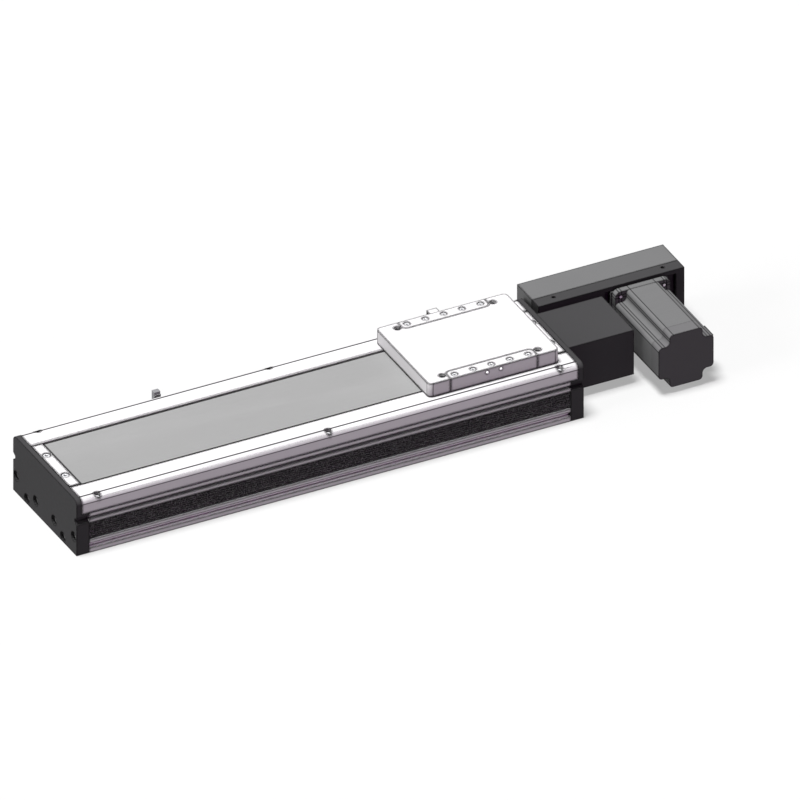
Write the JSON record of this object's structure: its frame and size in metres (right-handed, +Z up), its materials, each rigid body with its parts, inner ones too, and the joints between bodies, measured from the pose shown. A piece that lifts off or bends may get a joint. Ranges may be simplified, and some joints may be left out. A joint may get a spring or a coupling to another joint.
{
  "type": "belt driven linear axis",
  "caption": "Enclosed belt driven linear axis: a flat carriage slides on hidden rails over a grooved base, driven by a notched motor folded beside the drive end.",
  "frame": {"origin": "centre of the mounting face, the flat underside of the base profile", "axes": "+X along the travel, towards the drive end; +Y away from the side that carries the motor; +Z up, out of the carriage"},
  "size_m": [0.714, 0.149, 0.079],
  "materials": {
    "clear_aluminium": "bead-blasted, clear anodised",
    "cover_aluminium": "fine satin, clear anodised",
    "black_aluminium": "black anodised, satin",
    "grey_housing": "dark grey anodised, satin",
    "strip_steel": "brushed lengthwise",
    "guide_steel": "ground",
    "screw_steel": "plated",
    "black_screw": "black oxide",
    "ribbed_infill": "extruded, matte",
    "belt_rubber": "moulded, matte",
    "bumper_rubber": "moulded",
    "motor_paint": "satin",
    "motor_cap_black": "cast, satin black",
    "sensor_plastic": "moulded",
    "bracket_steel": "bent sheet, plated",
    "connector_plastic": "moulded"
  },
  "bodies": {
    "base": {"base_extrusion": "clear_aluminium", "side_infill_strips": "ribbed_infill", "drive_end_plate": "black_aluminium", "tension_end_plate": "black_aluminium", "end_plate_screws": "black_screw", "side_cover_far": "cover_aluminium", "side_cover_near": "cover_aluminium", "cover_screws": "screw_steel", "cover_strip": "strip_steel", "strip_bars": "clear_aluminium", "strip_clamps": "cover_aluminium", "strip_clamp_screws": "screw_steel", "guide_rails": "guide_steel", "rail_screws": "screw_steel", "main_belt": "belt_rubber", "idler_axle": "guide_steel", "tension_block": "clear_aluminium", "tension_screws": "black_screw", "end_bumpers": "bumper_rubber", "drive_box": "black_aluminium", "drive_box_screws": "screw_steel", "drive_support": "grey_housing", "drive_bearings": "guide_steel", "side_belt": "belt_rubber", "housing_front_plate": "black_aluminium", "housing_rear_cover": "grey_housing", "housing_screws": "black_screw", "motor_adapter_plate": "grey_housing", "adapter_screws": "screw_steel", "motor_screws": "screw_steel", "motor_front_flange": "motor_paint", "motor_stator": "motor_paint", "motor_end_cap": "motor_cap_black", "motor_bearings": "guide_steel", "motor_connector": "connector_plastic", "limit_sensors": "sensor_plastic", "sensor_brackets": "bracket_steel", "sensor_screws": "screw_steel"},
    "carriage": {"carriage_plate": "cover_aluminium", "carriage_insert_far": "cover_aluminium", "carriage_insert_near": "cover_aluminium", "insert_screws": "screw_steel", "carriage_leg_far": "guide_steel", "carriage_leg_near": "guide_steel", "leg_screws": "screw_steel", "carriage_saddle": "clear_aluminium", "saddle_screws": "screw_steel", "bearing_blocks": "guide_steel", "belt_tooth_block": "clear_aluminium", "belt_clamp": "clear_aluminium", "belt_clamp_screws": "screw_steel", "sensor_flag": "bracket_steel"},
    "drive_shaft": {"drive_shaft": "guide_steel", "drive_pulley": "clear_aluminium", "side_pulley_driven": "clear_aluminium"},
    "idler": {"idler_pulley": "clear_aluminium", "idler_bearings": "guide_steel"},
    "motor_rotor": {"motor_rotor": "guide_steel", "side_pulley_motor": "clear_aluminium"}
  },
  "joints": [
    {"name": "carriage_slide", "type": "slide", "parent": "base", "child": "carriage", "axis": [1, 0, 0], "range_m": [-0.305, 0.005], "deforming": ["main_belt"]},
    {"name": "drive_shaft_spin", "type": "hinge", "parent": "base", "child": "drive_shaft", "pos_m": [0.313, 0, 0.0365], "axis": [0, 1, 0], "continuous": true, "deforming": ["side_belt"]},
    {"name": "idler_spin", "type": "hinge", "parent": "base", "child": "idler", "pos_m": [-0.217, 0, 0.0365], "axis": [0, 1, 0], "continuous": true},
    {"name": "motor_spin", "type": "hinge", "parent": "base", "child": "motor_rotor", "pos_m": [0.388, 0, 0.0365], "axis": [0, 1, 0], "continuous": true}
  ],
  "couplings": [
    {"joint": "drive_shaft_spin", "follows": "carriage_slide", "rad_per_m": 52.36},
    {"joint": "idler_spin", "follows": "carriage_slide", "rad_per_m": 52.36},
    {"joint": "motor_spin", "follows": "carriage_slide", "rad_per_m": 52.36}
  ]
}
